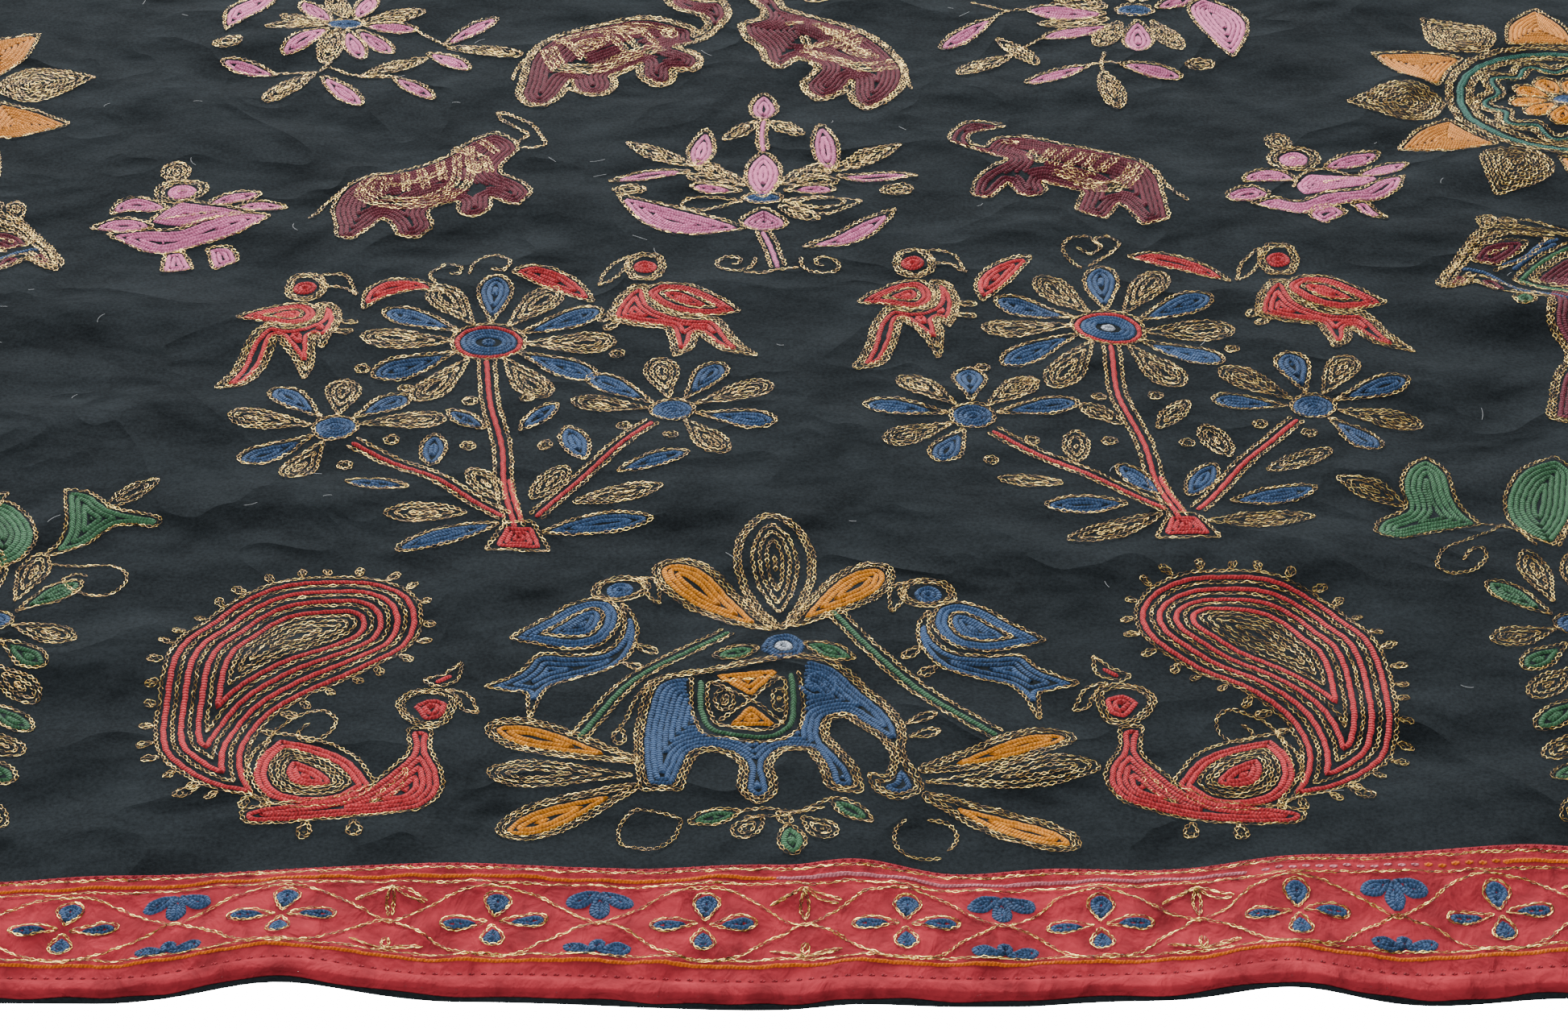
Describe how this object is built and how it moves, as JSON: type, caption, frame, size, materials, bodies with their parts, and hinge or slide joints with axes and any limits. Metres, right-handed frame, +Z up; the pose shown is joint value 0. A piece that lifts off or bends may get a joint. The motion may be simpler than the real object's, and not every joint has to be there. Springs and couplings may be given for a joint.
{
  "type": "embroidered wall hanging",
  "caption": "Flat dark cloth wall hanging with a red sewn border, chain-stitched animals, trees and flowers, laid out with soft folds",
  "frame": {"origin": "middle of the footprint, on the surface that the cloth lies on", "axes": "+X across the hanging, +Y from the bottom edge to the top edge, +Z up from the surface"},
  "size_m": [1.36, 1.6, 0.0153],
  "materials": {
    "ground_cloth": "matt plain-woven wool, dark blue-green",
    "border_cloth": "matt plain-woven cotton, red",
    "gold_thread": "glittering metal-wrapped thread",
    "coloured_thread": "softly shining twisted floss"
  },
  "bodies": {
    "root": {"ground_cloth": "ground_cloth", "border_bottom": "border_cloth", "border_top": "border_cloth", "border_left": "border_cloth", "border_right": "border_cloth"}
  },
  "joints": []
}
